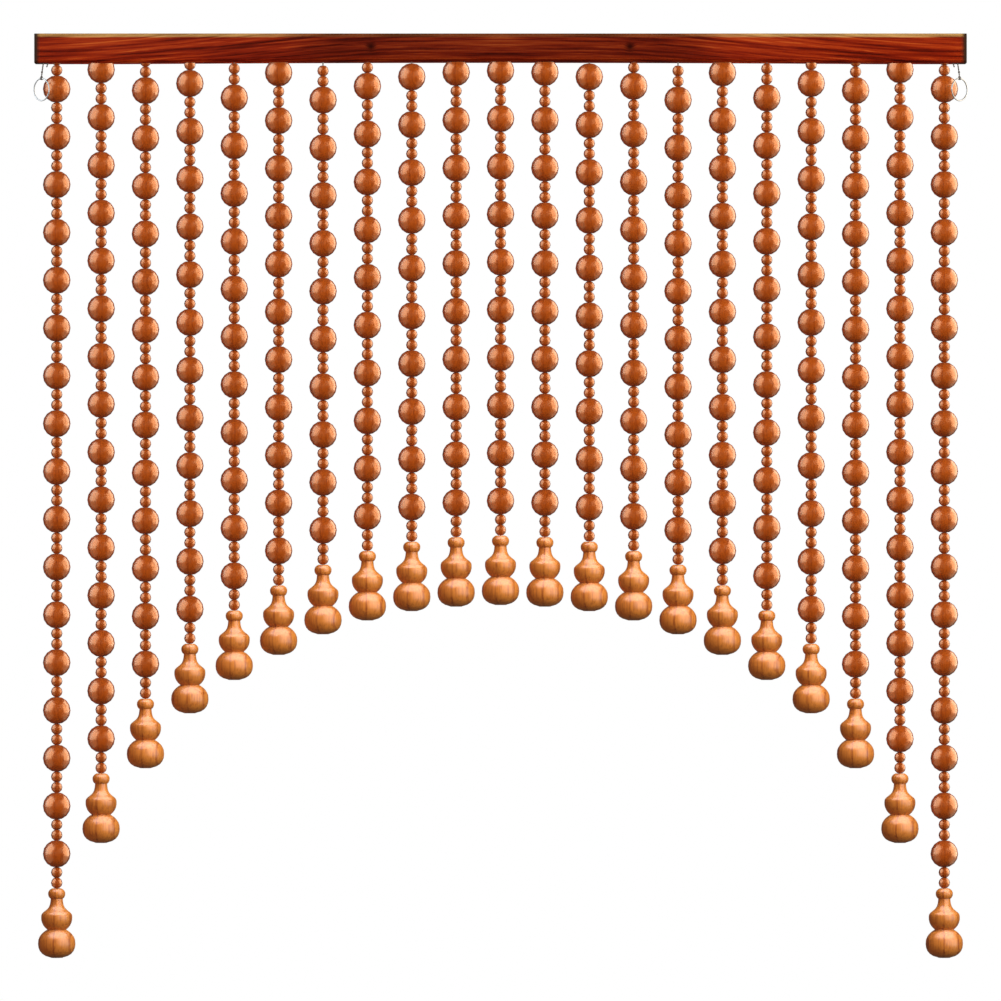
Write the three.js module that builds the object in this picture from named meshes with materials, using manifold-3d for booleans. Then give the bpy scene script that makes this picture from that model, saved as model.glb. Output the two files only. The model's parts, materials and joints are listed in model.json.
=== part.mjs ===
// Wooden bead curtain on its header rail, in millimetres, +Z up.
// The origin is the centre of the rail's top face. X runs along the rail and the front faces -Y.

import * as THREE from "three";
import { mergeVertices } from "three/addons/utils/BufferGeometryUtils.js";
import Module from "manifold-3d";

// Space between two pieces that rest on or in each other
const SEAT_GAP = 0.3;

// Header rail, with a stopped groove underneath that takes the tops of the strands
const RAIL_LENGTH = 850;
const RAIL_DEPTH = 38;
const RAIL_HEIGHT = 27;
const RAIL_CHAMFER = 2.5;
const GROOVE_WIDTH = 27;
const GROOVE_DEPTH = 9;
const GROOVE_END_WALL = 12;

// Strands, evenly spaced and the same on both sides of the middle one
const STRAND_PITCH = 40.5;
const STRAND_LENGTHS = [
  { stepsFromMiddle: 0, belowRail: 494.0 },
  { stepsFromMiddle: 1, belowRail: 495.5 },
  { stepsFromMiddle: 2, belowRail: 499.6 },
  { stepsFromMiddle: 3, belowRail: 508.1 },
  { stepsFromMiddle: 4, belowRail: 520.7 },
  { stepsFromMiddle: 5, belowRail: 539.5 },
  { stepsFromMiddle: 6, belowRail: 562.4 },
  { stepsFromMiddle: 7, belowRail: 592.8 },
  { stepsFromMiddle: 8, belowRail: 642.9 },
  { stepsFromMiddle: 9, belowRail: 711.1 },
  { stepsFromMiddle: 10, belowRail: 816.0 },
];

// Beads: step is the length that a bead takes up on the cord, between its drilled ends.
// A large bead is two turned rings of five corners and a small one is a single ring of four.
const LARGE_BEAD = { step: 24.5, beltRadius: 12.6, beltHalfHeight: 7.4, corners: 5 };
const SMALL_BEAD = { step: 9.56, beltRadius: 5.5, beltHalfHeight: 0, corners: 4 };
const BEAD_PATTERN = [SMALL_BEAD, SMALL_BEAD, LARGE_BEAD];
const BEAD_END = { radius: 1.9, corners: 3 };
const CORD_END_RADIUS = 1.0;

// Gourd pendant, turned in one piece, from its flat foot up to the drilled lip
const PENDANT_CORNERS = 7;
const PENDANT_PROFILE = [
  { height: 0, radius: 8.2 },
  { height: 4.5, radius: 13.8 },
  { height: 13, radius: 17.0 },
  { height: 20.5, radius: 15.4 },
  { height: 25.6, radius: 9.1 },
  { height: 30.5, radius: 12.6 },
  { height: 36.5, radius: 14.2 },
  { height: 42.3, radius: 12.0 },
  { height: 48, radius: 6.9 },
  { height: 52, radius: 5.5 },
  { height: 58, radius: 7.8 },
  { height: 63.3, radius: 5.0 },
];
const PENDANT_HEIGHT = PENDANT_PROFILE[PENDANT_PROFILE.length - 1].height;

// Hanging rings, one on a short tied cord under each end of the rail.
// A ring is turned on its cord, so that its inner edge stands in front of the outermost strand.
const RING_RADIUS = 10.1;
const RING_WIRE_RADIUS = 0.65;
const RING_TURN = THREE.MathUtils.degToRad(45);
const RING_SEGMENTS = { wire: 4, around: 12 };
const RING_CENTRE = { fromRailEnd: 6.5, forward: 10, belowRail: 23.9 };

// Tied cord of a ring, from the rail's underside down to the knot round the ring's wire
const RING_CORD_CORNERS = 5;
const RING_CORD_PROFILE = [
  { belowRail: SEAT_GAP, fromRailEnd: 8.3, radius: 0.7 },
  { belowRail: 7.2, fromRailEnd: 7.0, radius: 0.7 },
  { belowRail: 8.2, fromRailEnd: 6.9, radius: 1.3 },
  { belowRail: 9.2, fromRailEnd: 6.8, radius: 0.7 },
  { belowRail: 11.6, fromRailEnd: 6.5, radius: 0.7 },
  { belowRail: 13.0, fromRailEnd: 6.5, radius: 1.7 },
  { belowRail: 14.7, fromRailEnd: 6.5, radius: 1.7 },
  { belowRail: 15.7, fromRailEnd: 6.5, radius: 0.8 },
];

const RAIL_FINISH = new THREE.MeshStandardMaterial({
  color: 0x6e2416, roughness: 0.35, metalness: 0, flatShading: true,
});
const BEAD_FINISH = new THREE.MeshStandardMaterial({
  color: 0xb9622b, roughness: 0.4, metalness: 0, flatShading: true,
});
const PENDANT_FINISH = new THREE.MeshStandardMaterial({
  color: 0xcc8040, roughness: 0.5, metalness: 0, flatShading: true,
});
const STEEL_FINISH = new THREE.MeshStandardMaterial({
  color: 0xb8bbbd, roughness: 0.3, metalness: 1, flatShading: true,
});
const CORD_FINISH = new THREE.MeshStandardMaterial({
  color: 0x2e2a27, roughness: 0.8, metalness: 0, flatShading: true,
});

const wasm = await Module();
wasm.setup();

function toSolid(geometry) {
  const bare = geometry.clone();
  bare.deleteAttribute("normal");
  bare.deleteAttribute("uv");
  const merged = mergeVertices(bare, 1e-4);
  return new wasm.Manifold(new wasm.Mesh({
    numProp: 3,
    vertProperties: Float32Array.from(merged.attributes.position.array),
    triVerts: Uint32Array.from(merged.index.array),
  }));
}

function toGeometry(solid) {
  const mesh = solid.getMesh();
  const geometry = new THREE.BufferGeometry();
  geometry.setAttribute("position", new THREE.BufferAttribute(mesh.vertProperties, 3));
  geometry.setIndex(new THREE.BufferAttribute(mesh.triVerts, 1));
  return geometry;
}

// Triangles between two rings of corners, one above the other, which may differ in number.
// Each step goes round the ring whose next corner comes first.
function bandFaces(lower, upper) {
  const faces = [];
  const lowerStep = (2 * Math.PI) / lower.corners;
  const upperStep = (2 * Math.PI) / upper.corners;
  const lowerCorner = (i) => lower.first + (i % lower.corners);
  const upperCorner = (i) => upper.first + (i % upper.corners);
  let i = 0;
  let j = 0;
  while (i < lower.corners || j < upper.corners) {
    const nextLower = lower.turn + (i + 1) * lowerStep;
    const nextUpper = upper.turn + (j + 1) * upperStep;
    if (j === upper.corners || (i < lower.corners && nextLower <= nextUpper)) {
      faces.push(lowerCorner(i), lowerCorner(i + 1), upperCorner(j));
      i += 1;
    } else {
      faces.push(lowerCorner(i), upperCorner(j + 1), upperCorner(j));
      j += 1;
    }
  }
  return faces;
}

// A closed solid through a stack of rings of corners, from the lowest ring up.
// A ring has a height z, a corner radius, a number of corners, a turn and a centre x.
function turnedSolid(rings) {
  const positions = [];
  const laid = rings.map(({ z, radius, corners, turn = 0, x = 0 }) => {
    const first = positions.length / 3;
    for (let i = 0; i < corners; i += 1) {
      const angle = turn + (2 * Math.PI * i) / corners;
      positions.push(x + radius * Math.cos(angle), radius * Math.sin(angle), z);
    }
    return { first, corners, turn };
  });
  const faces = [];
  for (let k = 0; k + 1 < laid.length; k += 1) {
    faces.push(...bandFaces(laid[k], laid[k + 1]));
  }
  const foot = laid[0];
  const head = laid[laid.length - 1];
  for (let i = 1; i + 1 < foot.corners; i += 1) {
    faces.push(foot.first, foot.first + i + 1, foot.first + i);
  }
  for (let i = 1; i + 1 < head.corners; i += 1) {
    faces.push(head.first, head.first + i, head.first + i + 1);
  }
  const geometry = new THREE.BufferGeometry();
  geometry.setAttribute("position", new THREE.Float32BufferAttribute(positions, 3));
  geometry.setIndex(faces);
  return geometry;
}

// Corner radius that puts a polygon's corners as far outside a circle as its flats lie inside
function cornerRadius(radius, corners) {
  return (radius * (1 + 1 / Math.cos(Math.PI / corners))) / 2;
}

// Header rail: a block chamfered on every edge, grooved underneath short of both ends
function railGeometry() {
  const y = RAIL_DEPTH / 2;
  const c = RAIL_CHAMFER;
  const section = new THREE.Shape([
    new THREE.Vector2(-y + c, 0),
    new THREE.Vector2(-y, -c),
    new THREE.Vector2(-y, -RAIL_HEIGHT + c),
    new THREE.Vector2(-y + c, -RAIL_HEIGHT),
    new THREE.Vector2(y - c, -RAIL_HEIGHT),
    new THREE.Vector2(y, -RAIL_HEIGHT + c),
    new THREE.Vector2(y, -c),
    new THREE.Vector2(y - c, 0),
  ]);
  const block = new THREE.ExtrudeGeometry(section, {
    depth: RAIL_LENGTH - 2 * c,
    bevelEnabled: true,
    bevelThickness: c,
    bevelSize: c,
    bevelOffset: -c,
    bevelSegments: 1,
  });
  block.translate(0, 0, -RAIL_LENGTH / 2 + c);
  block.applyMatrix4(new THREE.Matrix4().makeBasis(
    new THREE.Vector3(0, 1, 0),
    new THREE.Vector3(0, 0, 1),
    new THREE.Vector3(1, 0, 0),
  ));
  const groove = new THREE.BoxGeometry(
    RAIL_LENGTH - 2 * GROOVE_END_WALL,
    GROOVE_WIDTH,
    2 * GROOVE_DEPTH,
  );
  groove.translate(0, 0, -RAIL_HEIGHT);
  return toGeometry(toSolid(block).subtract(toSolid(groove)));
}

// Rings of corners of one bead, between its drilled ends
function beadRings(bead, middle) {
  const { beltRadius, beltHalfHeight, corners } = bead;
  if (beltHalfHeight === 0) {
    return [{ z: middle, radius: beltRadius, corners }];
  }
  return [
    { z: middle - beltHalfHeight, radius: beltRadius, corners },
    { z: middle + beltHalfHeight, radius: beltRadius, corners, turn: Math.PI / corners },
  ];
}

// One strand: its beads in order from the pendant up, as many as fit under the groove's roof,
// with the bare end of the cord above them
function strandGeometry(foot, roof) {
  const rings = [{ z: foot, ...BEAD_END }];
  let z = foot;
  for (let place = 0; ; place += 1) {
    const bead = BEAD_PATTERN[place % BEAD_PATTERN.length];
    if (z + bead.step > roof) {
      break;
    }
    rings.push(...beadRings(bead, z + bead.step / 2));
    z += bead.step;
    rings.push({ z, ...BEAD_END });
  }
  rings.push({ z: roof, radius: CORD_END_RADIUS, corners: BEAD_END.corners });
  return turnedSolid(rings);
}

function pendantGeometry() {
  return turnedSolid(PENDANT_PROFILE.map(({ height, radius }) => ({
    z: height,
    radius: cornerRadius(radius, PENDANT_CORNERS),
    corners: PENDANT_CORNERS,
  })));
}

// A ring's wire, upright in the plane of X and Z, with its flats moved out by extra
// where it cuts its own seat
function ringGeometry(extra) {
  const wire = new THREE.TorusGeometry(
    RING_RADIUS,
    RING_WIRE_RADIUS + extra / Math.cos(Math.PI / RING_SEGMENTS.wire),
    RING_SEGMENTS.wire,
    RING_SEGMENTS.around,
  );
  wire.rotateX(Math.PI / 2);
  return wire;
}

// side is -1 at the left end of the rail and 1 at the right end
function placeRing(object, side) {
  object.position.set(
    side * (RAIL_LENGTH / 2 - RING_CENTRE.fromRailEnd),
    -RING_CENTRE.forward,
    -RAIL_HEIGHT - RING_CENTRE.belowRail,
  );
  object.rotation.z = side * RING_TURN;
}

// The cord hangs from the rail, and its lower knot is open where the ring's wire goes through
function ringCordGeometry(side) {
  const rings = RING_CORD_PROFILE.map(({ belowRail, fromRailEnd, radius }) => ({
    z: -RAIL_HEIGHT - belowRail,
    x: side * (RAIL_LENGTH / 2 - fromRailEnd),
    radius,
    corners: RING_CORD_CORNERS,
  }));
  const cord = turnedSolid(rings.reverse());
  cord.translate(0, -RING_CENTRE.forward, 0);
  const seat = new THREE.Object3D();
  placeRing(seat, side);
  seat.updateMatrix();
  const wire = ringGeometry(SEAT_GAP).applyMatrix4(seat.matrix);
  return toGeometry(toSolid(cord).subtract(toSolid(wire)));
}

function namedMesh(name, geometry, material) {
  const mesh = new THREE.Mesh(geometry, material);
  mesh.name = name;
  return mesh;
}

const curtain = new THREE.Group();
curtain.add(namedMesh("rail", railGeometry(), RAIL_FINISH));

const stepsEachSide = STRAND_LENGTHS.length - 1;
for (let step = -stepsEachSide; step <= stepsEachSide; step += 1) {
  const number = String(step + stepsEachSide + 1).padStart(2, "0");
  const row = STRAND_LENGTHS.find(({ stepsFromMiddle }) => stepsFromMiddle === Math.abs(step));
  const strand = new THREE.Group();
  strand.position.set(step * STRAND_PITCH, 0, -RAIL_HEIGHT - row.belowRail);
  const foot = PENDANT_HEIGHT + SEAT_GAP;
  const roof = row.belowRail + GROOVE_DEPTH - SEAT_GAP;
  strand.add(namedMesh(`strand_${number}`, strandGeometry(foot, roof), BEAD_FINISH));
  strand.add(namedMesh(`pendant_${number}`, pendantGeometry(), PENDANT_FINISH));
  curtain.add(strand);
}

for (const { side, label } of [{ side: -1, label: "left" }, { side: 1, label: "right" }]) {
  const ring = namedMesh(`ring_${label}`, ringGeometry(0), STEEL_FINISH);
  placeRing(ring, side);
  curtain.add(ring);
  curtain.add(namedMesh(`ring_cord_${label}`, ringCordGeometry(side), CORD_FINISH));
}

export default curtain;
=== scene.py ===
"""Wooden bead curtain on its header rail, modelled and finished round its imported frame."""

import json
import math
import random

import bpy
from bpy.props import FloatProperty, FloatVectorProperty, IntProperty, PointerProperty
from mathutils import Matrix, Vector

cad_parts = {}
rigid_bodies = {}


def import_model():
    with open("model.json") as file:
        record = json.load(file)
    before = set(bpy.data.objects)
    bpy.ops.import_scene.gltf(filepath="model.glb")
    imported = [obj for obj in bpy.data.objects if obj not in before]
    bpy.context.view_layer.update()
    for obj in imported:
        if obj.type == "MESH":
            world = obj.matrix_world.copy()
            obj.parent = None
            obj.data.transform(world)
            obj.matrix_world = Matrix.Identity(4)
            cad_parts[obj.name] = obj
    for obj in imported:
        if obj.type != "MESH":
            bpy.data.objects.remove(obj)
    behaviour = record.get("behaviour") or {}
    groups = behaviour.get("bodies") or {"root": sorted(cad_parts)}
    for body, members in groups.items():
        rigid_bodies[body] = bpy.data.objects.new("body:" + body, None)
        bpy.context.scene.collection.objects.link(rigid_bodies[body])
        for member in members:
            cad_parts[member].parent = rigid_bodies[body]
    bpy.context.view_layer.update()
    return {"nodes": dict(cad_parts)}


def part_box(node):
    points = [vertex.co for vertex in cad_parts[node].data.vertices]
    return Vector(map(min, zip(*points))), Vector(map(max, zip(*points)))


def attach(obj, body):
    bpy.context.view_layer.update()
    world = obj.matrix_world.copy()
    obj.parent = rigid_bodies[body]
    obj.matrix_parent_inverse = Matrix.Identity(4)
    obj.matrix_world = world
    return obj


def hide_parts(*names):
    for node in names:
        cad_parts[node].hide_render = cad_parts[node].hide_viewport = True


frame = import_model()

bl_info = {
    "name": "Wooden Bead Curtain",
    "version": (1, 0, 0),
    "blender": (4, 5, 0),
    "location": "3D View > Sidebar > Bead Curtain",
    "description": "Models and finishes a wooden bead curtain round its frame",
    "category": "Object",
}

MM = 0.001
BODY = "root"
RAIL_LOW, RAIL_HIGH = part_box("rail")
STRAND_NODES = sorted(n for n in frame["nodes"] if n.startswith("strand_"))
PENDANT_NODES = sorted(n for n in frame["nodes"] if n.startswith("pendant_"))

# Groove under the rail, as the frame's solid has it, and the holes drilled in its roof
GROOVE_WIDTH = 27 * MM
GROOVE_DEPTH = 9 * MM
GROOVE_END_WALL = 12 * MM
CORD_HOLE_RADIUS = 1.6 * MM
CORD_HOLE_DEPTH = 9 * MM

# Long flat arc that the rail's underside is hollowed to: its half axes along the rail and upwards
HOLLOW_ARC = (1.0, 20 * MM)

# Rail's figure by distance from its middle: where its streaks start to rise to the ends, the small
# knots that bend them, its dark middle, and the painted highlight on the top edge that fades there
GRAIN_RISE = {"start": 80 * MM, "height": 24 * MM}
KNOT = {"place": (118 * MM, 0, -12 * MM), "radius": 7 * MM, "bend": 2.5 * MM}
DARK_MIDDLE = {"start": 145 * MM, "end": 225 * MM, "brightness": 0.57}
FADED_TOP_EDGE_HIGHLIGHT = {"start": 150 * MM, "end": 260 * MM, "share": 0.25}

# Reach of the highlight painted as a pale strip along the rail's top edge, down from the top and in
# from front or back, and of its ends' end grain and painted shade in from the ends, at full strength
# and in all
TOP_EDGE_HIGHLIGHT = {
    "full_drop": 1 * MM, "drop": 2.8 * MM, "waver": 2.5 * MM, "full_inset": 3 * MM, "inset": 9 * MM}
END_GRAIN_AND_SHADE = {"full_inset": 1.5 * MM, "inset": 6 * MM}

# Faces round a bead and from end to end: few, because beads are repeated hundreds of times
LARGE_BEAD_FACES = (12, 8)
SMALL_BEAD_FACES = (8, 6)

# Pendant, turned from one piece: heights and radii of its arcs, in millimetres
FOOT_RADIUS = 5.0
BELLY = {"radius": 17.1, "height": 14.0, "rise": 13.9, "fullness": 2.5, "fullness_above": 1.9}
WAIST_HEIGHT = 25.75
SHOULDER = {"radius": 14.2, "height": 36.3, "drop": 13.2, "rise": 7.2}
NECK_RADIUS = 5.3
LIP = {"radius": 7.85, "height": 58.6, "drop": 6.3, "rise": 5.4, "fullness": 2.2}
LIP_CREASE_HEIGHT = 54.0
LIP_HOLE = {"radius": 1.7, "depth": 5.0}

# Distance between growth rings in millimetres, and how far a piece's grain turns from straight on
BEAD_RINGS = 8
BEAD_SWAY = math.radians(20)
PENDANT_RINGS = 14
PENDANT_SWAY = math.radians(6)

# What is drawn by lot for a turned piece, lowest and highest: rings and millimetres aside from the
# pith, metres along the tree, and tint
PITH_RINGS = (3, 6)
PITH_ASIDE = (-3, 3)
PITH_ALONG = (-1, 1)
TINTS = (0.96, 1.04)

# Share of a hole's depth that a strand's cord fills, and the cord's thickness in plies
CORD_SEAT = 0.6
STRAND_CORD_PLIES = 1.6

# A ring's cord: places in from the rail's end and down from its underside, the stretch hidden in the
# rail, the free end's lean and length, the length of one twist and the spacing of its two plies
STEM_INSET = 8.3 * MM
KNOT_INSET = 6.9 * MM
KNOT_DROP = 8.2 * MM
FREE_END = {"inset": 12.6 * MM, "lean": 1.4 * MM, "length": 4.6 * MM}
HIDDEN_CORD = 1 * MM
CORD_TWIST = 3.2 * MM
PLY_SPACING = 0.92

# A ring's knot: heights of the stem's end and of the collar over the wire, and half the gap of a
# pair of turns
STEM_FOOT = 1.2 * MM
COLLAR_HEIGHT = 1.7 * MM
HALF_TURN_GAP = 0.45 * MM

# Photograph's framing: its side in pixels, the rail's ends and top in it, and the camera's distance
PHOTO_PIXELS = 1001
RAIL_PIXELS = 931.4
RAIL_TOP_PIXEL = 34.1
CAMERA_DISTANCE = 12.0
SENSOR_WIDTH = 36.0

# Studio: distance of the boxes from the middle of the object, tints of those that aren't white, and
# the floor's radius
BOX_DISTANCE = 5.0
BOX_TINTS = {
    "left_fill": "#FFC79B",
    "right_box": "#FFEBD2",
    "low_right": "#FFEBD2",
    "low_left": "#FFEBD2",
}
FLOOR_RADIUS = 3.2


def srgb(code):
    """Linear red, green, blue and alpha of an sRGB hex colour."""
    channels = [int(code[i:i + 2], 16) / 255 for i in (1, 3, 5)]
    return tuple(c / 12.92 if c <= 0.04045 else ((c + 0.055) / 1.055) ** 2.4 for c in channels) + (1.0,)


def add_node(tree, kind, settings=None, links=None):
    """Adds a shader node. Settings are properties, input values or ramp stops, and links feed inputs."""
    node = tree.nodes.new(kind)
    for name, value in (settings or {}).items():
        if name == "stops":
            stops = node.color_ramp.elements
            while len(stops) < len(value):
                stops.new(1.0)
            for stop, (position, colour) in zip(stops, value):
                stop.position = position
                stop.color = colour
        elif isinstance(name, int) or name in node.inputs:
            node.inputs[name].default_value = value
        else:
            setattr(node, name, value)
    for name, output in (links or {}).items():
        tree.links.new(output, node.inputs[name])
    return node


def empty_material(name):
    """A material with no nodes, and its tree."""
    material = bpy.data.materials.new(name)
    material.use_nodes = True
    material.node_tree.nodes.clear()
    return material, material.node_tree


def per(millimetres):
    """Texture scale that repeats once in a length, for coordinates in metres."""
    return 1 / (millimetres * MM)


# Sizes and colours

class RailSettings(bpy.types.PropertyGroup):
    chamfer: FloatProperty(
        name="Chamfer", description="Flat planed off every long edge and end", default=2.5 * MM,
        min=0.5 * MM, subtype="DISTANCE", unit="LENGTH")
    worn_edge: FloatProperty(
        name="Worn edge", description="Radius sanded on the sharp edges", default=0.5 * MM,
        min=0.1 * MM, subtype="DISTANCE", unit="LENGTH")
    hollow: FloatProperty(
        name="Hollow", description="Rise of the underside in the middle of the rail", default=1.23 * MM,
        min=0.1 * MM, subtype="DISTANCE", unit="LENGTH")
    heartwood: FloatVectorProperty(
        name="Heartwood", description="Main red of the rosewood", subtype="COLOR", size=4,
        min=0, max=1, default=srgb("#861E04"))
    dark_streak: FloatVectorProperty(
        name="Dark streak", description="Darkest lines of the grain", subtype="COLOR", size=4,
        min=0, max=1, default=srgb("#3C0602"))
    pale_streak: FloatVectorProperty(
        name="Pale streak", description="Lightest lines of the grain", subtype="COLOR", size=4,
        min=0, max=1, default=srgb("#C25A20"))
    # Painted highlight: a pale strip along the top edge, where the top chamfer catches the light
    top_edge_highlight: FloatVectorProperty(
        name="Top edge highlight", description="Pale strip along the top edge", subtype="COLOR", size=4,
        min=0, max=1, default=srgb("#C59A5C"))


class BeadSettings(bpy.types.PropertyGroup):
    large_diameter: FloatProperty(
        name="Large bead", description="Diameter of the large bead", default=24.9 * MM,
        min=1 * MM, subtype="DISTANCE", unit="LENGTH")
    large_step: FloatProperty(
        name="Large step", description="Length of a large bead on the cord", default=24.5 * MM,
        min=1 * MM, subtype="DISTANCE", unit="LENGTH")
    small_diameter: FloatProperty(
        name="Small bead", description="Diameter of the small bead", default=10.2 * MM,
        min=1 * MM, subtype="DISTANCE", unit="LENGTH")
    small_step: FloatProperty(
        name="Small step", description="Length of a small bead on the cord", default=9.56 * MM,
        min=1 * MM, subtype="DISTANCE", unit="LENGTH")
    small_tone: FloatProperty(
        name="Small tone", description="Brightness of the small beads, which drink more stain",
        default=0.87, min=0.1, max=2)
    seed: IntProperty(
        name="Seed", description="Chooses how each bead's grain lies", default=7, min=0)
    wood: FloatVectorProperty(
        name="Wood", description="Main colour of the stained wood", subtype="COLOR", size=4,
        min=0, max=1, default=srgb("#AE4E0F"))
    dark_grain: FloatVectorProperty(
        name="Dark grain", description="Colour of the late wood", subtype="COLOR", size=4,
        min=0, max=1, default=srgb("#873104"))


class PendantSettings(bpy.types.PropertyGroup):
    segments: IntProperty(
        name="Segments", description="Faces round a pendant", default=28, min=8)
    wood: FloatVectorProperty(
        name="Wood", description="Main colour of the wood", subtype="COLOR", size=4,
        min=0, max=1, default=srgb("#CB7B2D"))
    dark_grain: FloatVectorProperty(
        name="Dark grain", description="Colour of the late wood", subtype="COLOR", size=4,
        min=0, max=1, default=srgb("#8C3C08"))


class FittingSettings(bpy.types.PropertyGroup):
    ring_radius: FloatProperty(
        name="Ring radius", description="Radius to the middle of the ring's wire", default=10.1 * MM,
        min=1 * MM, subtype="DISTANCE", unit="LENGTH")
    wire_radius: FloatProperty(
        name="Wire radius", description="Radius of the ring's wire", default=0.6 * MM,
        min=0.1 * MM, subtype="DISTANCE", unit="LENGTH")
    ring_turn: FloatProperty(
        name="Ring turn", description="Turn of each ring on its cord", default=math.radians(45),
        subtype="ANGLE", unit="ROTATION")
    cord_radius: FloatProperty(
        name="Cord radius", description="Radius of one ply of the dark cord", default=0.36 * MM,
        min=0.1 * MM, subtype="DISTANCE", unit="LENGTH")
    cord_colour: FloatVectorProperty(
        name="Cord", description="Colour of the waxed cord", subtype="COLOR", size=4,
        min=0, max=1, default=srgb("#2B2622"))


class StageSettings(bpy.types.PropertyGroup):
    floor_drop: FloatProperty(
        name="Floor drop", description="Floor's depth below the rail", default=2.05,
        min=1, subtype="DISTANCE", unit="LENGTH")
    left_box: FloatProperty(
        name="Left box", description="Power of the left box that the gloss mirrors", default=780,
        min=0, unit="POWER")
    right_box: FloatProperty(
        name="Right box", description="Power of the right box that the gloss mirrors", default=1050,
        min=0, unit="POWER")
    low_boxes: FloatProperty(
        name="Low boxes", description="Power of each dim box low on either side that the gloss mirrors",
        default=125, min=0, unit="POWER")
    key_light: FloatProperty(
        name="Key light", description="Power of the soft light from the upper right", default=230,
        min=0, unit="POWER")
    left_fill: FloatProperty(
        name="Left fill", description="Power of the warm soft light from the left", default=75,
        min=0, unit="POWER")
    front_fill: FloatProperty(
        name="Front fill", description="Power of the soft light from the front", default=55,
        min=0, unit="POWER")
    back_fill: FloatProperty(
        name="Back fill", description="Power of the soft light from behind", default=170,
        min=0, unit="POWER")
    top_box: FloatProperty(
        name="Top box", description="Power of the box overhead that the pendants' sheen mirrors",
        default=900, min=0, unit="POWER")
    side_box: FloatProperty(
        name="Side box", description="Power of the box on the right that the pendants' sheen mirrors",
        default=300, min=0, unit="POWER")
    top_light: FloatProperty(
        name="Top light", description="Power of the soft light from above on the pendants and the floor",
        default=190, min=0, unit="POWER")
    side_light: FloatProperty(
        name="Side light", description="Power of the soft light from the right on the pendants",
        default=65, min=0, unit="POWER")
    room: FloatProperty(
        name="Room", description="Brightness of the room round the object", default=0.09, min=0)


# Finishes

def wood_grain(tree, coordinate, ring_spacing):
    """Two signals from 0 to 1 for turned wood with its grain along Z: growth rings and fine fibres.

    The fibres are drawn about 1 mm wide, several times coarser than real ones, so that they show.
    A wave texture of scale 1 has its rings pi / 10 apart.
    """
    drawn_out = add_node(tree, "ShaderNodeMapping", {"Scale": (1, 1, 0.06)}, {"Vector": coordinate})
    rings = add_node(tree, "ShaderNodeTexWave", {
        "wave_type": "RINGS", "rings_direction": "Z", "wave_profile": "SAW",
        "Scale": math.pi / 10 * per(ring_spacing), "Distortion": 1.6, "Detail": 2.0, "Detail Scale": 1.5,
    }, {"Vector": drawn_out.outputs["Vector"]})
    fibres = add_node(tree, "ShaderNodeTexNoise", {"Scale": per(1.6), "Detail": 3.0, "Roughness": 0.6}, {
        "Vector": drawn_out.outputs["Vector"]})
    return rings.outputs["Fac"], fibres.outputs["Fac"]


def turned_wood(name, settings, ring_spacing, ring_depth, fibre_depth, finish):
    """Beech, turned, sanded and finished: growth rings and fine fibres run along the drilled hole.

    Late wood drinks more of the stain or oil, so its rings are darker. The thin finish shows the
    studio's boxes as long soft marks. Each piece carries its own grain coordinates, so no two show
    the same figure.
    """
    material, tree = empty_material(name)
    grain = add_node(tree, "ShaderNodeAttribute", {"attribute_name": "grain"})
    rings, fibres = wood_grain(tree, grain.outputs["Vector"], ring_spacing)
    late_wood = add_node(tree, "ShaderNodeMapRange", {
        "interpolation_type": "SMOOTHSTEP", "From Min": 0.8, "From Max": 0.98, "To Max": ring_depth,
    }, {"Value": rings})
    dark_fibres = add_node(tree, "ShaderNodeMapRange", {
        "From Min": 0.46, "From Max": 0.68, "To Max": fibre_depth,
    }, {"Value": fibres})
    darkness = add_node(tree, "ShaderNodeMath", {"operation": "ADD", "use_clamp": True}, {
        0: late_wood.outputs["Result"], 1: dark_fibres.outputs["Result"]})
    colour = add_node(tree, "ShaderNodeMix", {
        "data_type": "RGBA", 6: tuple(settings.wood), 7: tuple(settings.dark_grain),
    }, {0: darkness.outputs[0]})
    tint = add_node(tree, "ShaderNodeAttribute", {"attribute_name": "tint"})
    toned = add_node(tree, "ShaderNodeHueSaturation", {}, {
        "Value": tint.outputs["Fac"], "Color": colour.outputs[2]})
    bump = add_node(tree, "ShaderNodeBump", {"Strength": 0.1, "Distance": 0.1 * MM}, {"Height": fibres})
    surface = add_node(tree, "ShaderNodeBsdfPrincipled", finish, {
        "Base Color": toned.outputs["Color"], "Normal": bump.outputs["Normal"]})
    add_node(tree, "ShaderNodeOutputMaterial", {}, {"Surface": surface.outputs["BSDF"]})
    return material


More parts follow.
